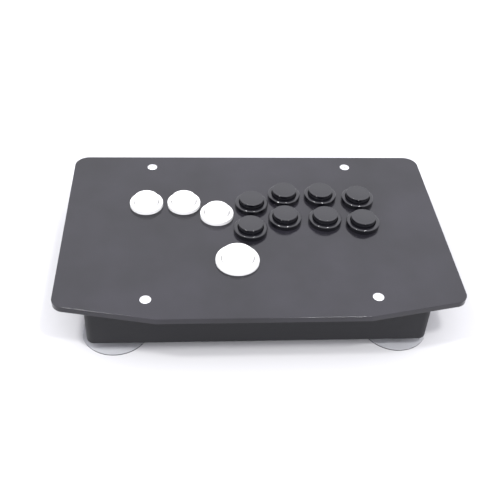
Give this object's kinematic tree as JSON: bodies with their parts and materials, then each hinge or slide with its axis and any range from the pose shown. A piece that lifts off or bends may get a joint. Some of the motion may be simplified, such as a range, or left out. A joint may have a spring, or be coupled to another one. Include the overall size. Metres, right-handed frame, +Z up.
{
  "type": "all-button arcade controller",
  "caption": "Flat black panel of snap-in arcade push-buttons on a shallow sheet-metal case with suction-cup feet and a rear socket.",
  "frame": {"origin": "on the table, below the middle of the panel", "axes": "+X to the player's right, +Y to the rear, +Z up; the front edge faces -Y"},
  "size_m": [0.311, 0.2046, 0.0581],
  "materials": {
    "panel_black": "satin black sheet with a fine frosted grain",
    "case_paint": "fine-textured matt black powder coat",
    "screw_steel": "bright polished stainless steel",
    "nut_steel": "zinc-plated steel",
    "cup_clear": "clear soft PVC, glossy",
    "button_white": "glossy white moulded plastic",
    "button_black": "glossy black moulded plastic",
    "switch_plastic": "moulded black switch case",
    "blade_metal": "silver-plated brass blades",
    "rear_cap_grey": "semi-gloss dark grey moulding",
    "board_green": "solder-masked glass-fibre board",
    "block_green": "moulded terminal block",
    "chip_black": "epoxy component bodies",
    "socket_steel": "tinned steel shell",
    "spacer_brass": "turned brass",
    "wire_red": "red PVC insulation",
    "wire_black": "black PVC insulation"
  },
  "bodies": {
    "controller": {"top_plate": "panel_black", "case_tray": "case_paint", "plate_screws": "screw_steel", "weld_nuts": "nut_steel", "cup_studs": "screw_steel", "cup_nuts": "nut_steel", "switch_blades": "blade_metal", "rear_button_bodies": "button_black", "rear_button_nuts": "nut_steel", "encoder_board": "board_green", "terminal_block": "block_green", "board_chips": "chip_black", "usb_socket": "socket_steel", "board_spacers": "spacer_brass", "board_screws": "screw_steel", "signal_wires": "wire_red", "ground_wires": "wire_black", "suction_cup_front_left": "cup_clear", "suction_cup_front_right": "cup_clear", "suction_cup_rear_left": "cup_clear", "suction_cup_rear_right": "cup_clear", "left_housing": "button_white", "left_switch": "switch_plastic", "down_housing": "button_white", "down_switch": "switch_plastic", "right_housing": "button_white", "right_switch": "switch_plastic", "jump_housing": "button_white", "jump_switch": "switch_plastic", "upper_1_housing": "button_black", "upper_1_switch": "switch_plastic", "upper_2_housing": "button_black", "upper_2_switch": "switch_plastic", "upper_3_housing": "button_black", "upper_3_switch": "switch_plastic", "upper_4_housing": "button_black", "upper_4_switch": "switch_plastic", "lower_1_housing": "button_black", "lower_1_switch": "switch_plastic", "lower_2_housing": "button_black", "lower_2_switch": "switch_plastic", "lower_3_housing": "button_black", "lower_3_switch": "switch_plastic", "lower_4_housing": "button_black", "lower_4_switch": "switch_plastic"},
    "left_button": {"left_plunger": "button_white"},
    "down_button": {"down_plunger": "button_white"},
    "right_button": {"right_plunger": "button_white"},
    "jump_button": {"jump_plunger": "button_white"},
    "upper_1_button": {"upper_1_plunger": "button_black"},
    "upper_2_button": {"upper_2_plunger": "button_black"},
    "upper_3_button": {"upper_3_plunger": "button_black"},
    "upper_4_button": {"upper_4_plunger": "button_black"},
    "lower_1_button": {"lower_1_plunger": "button_black"},
    "lower_2_button": {"lower_2_plunger": "button_black"},
    "lower_3_button": {"lower_3_plunger": "button_black"},
    "lower_4_button": {"lower_4_plunger": "button_black"},
    "select_button": {"select_cap": "rear_cap_grey"},
    "start_button": {"start_cap": "rear_cap_grey"},
    "home_button": {"home_cap": "rear_cap_grey"}
  },
  "joints": [
    {"name": "left_press", "type": "slide", "parent": "controller", "child": "left_button", "axis": [0, 0, -1], "range_m": [0, 0.0024], "stiffness_N_per_m": 250, "springref_m": -0.0012},
    {"name": "down_press", "type": "slide", "parent": "controller", "child": "down_button", "axis": [0, 0, -1], "range_m": [0, 0.0024], "stiffness_N_per_m": 250, "springref_m": -0.0012},
    {"name": "right_press", "type": "slide", "parent": "controller", "child": "right_button", "axis": [0, 0, -1], "range_m": [0, 0.0024], "stiffness_N_per_m": 250, "springref_m": -0.0012},
    {"name": "jump_press", "type": "slide", "parent": "controller", "child": "jump_button", "axis": [0, 0, -1], "range_m": [0, 0.0026], "stiffness_N_per_m": 250, "springref_m": -0.0012},
    {"name": "upper_1_press", "type": "slide", "parent": "controller", "child": "upper_1_button", "axis": [0, 0, -1], "range_m": [0, 0.0024], "stiffness_N_per_m": 250, "springref_m": -0.0012},
    {"name": "upper_2_press", "type": "slide", "parent": "controller", "child": "upper_2_button", "axis": [0, 0, -1], "range_m": [0, 0.0024], "stiffness_N_per_m": 250, "springref_m": -0.0012},
    {"name": "upper_3_press", "type": "slide", "parent": "controller", "child": "upper_3_button", "axis": [0, 0, -1], "range_m": [0, 0.0024], "stiffness_N_per_m": 250, "springref_m": -0.0012},
    {"name": "upper_4_press", "type": "slide", "parent": "controller", "child": "upper_4_button", "axis": [0, 0, -1], "range_m": [0, 0.0024], "stiffness_N_per_m": 250, "springref_m": -0.0012},
    {"name": "lower_1_press", "type": "slide", "parent": "controller", "child": "lower_1_button", "axis": [0, 0, -1], "range_m": [0, 0.0024], "stiffness_N_per_m": 250, "springref_m": -0.0012},
    {"name": "lower_2_press", "type": "slide", "parent": "controller", "child": "lower_2_button", "axis": [0, 0, -1], "range_m": [0, 0.0024], "stiffness_N_per_m": 250, "springref_m": -0.0012},
    {"name": "lower_3_press", "type": "slide", "parent": "controller", "child": "lower_3_button", "axis": [0, 0, -1], "range_m": [0, 0.0024], "stiffness_N_per_m": 250, "springref_m": -0.0012},
    {"name": "lower_4_press", "type": "slide", "parent": "controller", "child": "lower_4_button", "axis": [0, 0, -1], "range_m": [0, 0.0024], "stiffness_N_per_m": 250, "springref_m": -0.0012},
    {"name": "select_press", "type": "slide", "parent": "controller", "child": "select_button", "axis": [0, -1, 0], "range_m": [0, 0.0012], "stiffness_N_per_m": 800, "springref_m": -0.001},
    {"name": "start_press", "type": "slide", "parent": "controller", "child": "start_button", "axis": [0, -1, 0], "range_m": [0, 0.0012], "stiffness_N_per_m": 800, "springref_m": -0.001},
    {"name": "home_press", "type": "slide", "parent": "controller", "child": "home_button", "axis": [0, -1, 0], "range_m": [0, 0.0012], "stiffness_N_per_m": 800, "springref_m": -0.001}
  ]
}
